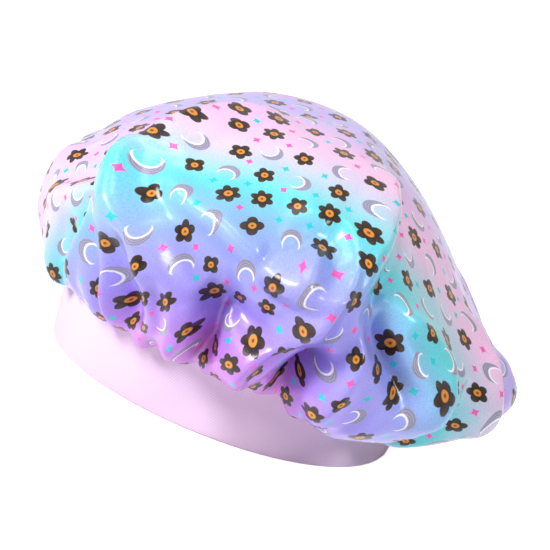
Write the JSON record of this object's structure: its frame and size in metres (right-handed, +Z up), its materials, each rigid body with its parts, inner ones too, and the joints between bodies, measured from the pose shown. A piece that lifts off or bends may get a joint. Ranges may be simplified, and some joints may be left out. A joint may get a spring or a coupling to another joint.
{
  "type": "hair bonnet",
  "caption": "Gathered satin crown, full and sagging to the back, sewn to a wide soft elastic band that goes round the head.",
  "frame": {"origin": "middle of the head opening, in the plane of the band's rim, which is the face that the bonnet stands on", "axes": "+Z up out of the crown, -Y towards the brow, +Y towards the nape, where the crown sags; +X towards the wearer's left ear"},
  "size_m": [0.2456, 0.2678, 0.1505],
  "materials": {
    "satin": "printed polyester satin, soft sheen, pastel ombre",
    "knit": "fine twill-faced stretch knit, pale lilac pink, matt",
    "elastic": "woven flat elastic, off-white, matt"
  },
  "bodies": {
    "root": {"crown_panel": "satin", "band_cover": "knit", "band_elastic": "elastic"}
  },
  "joints": []
}
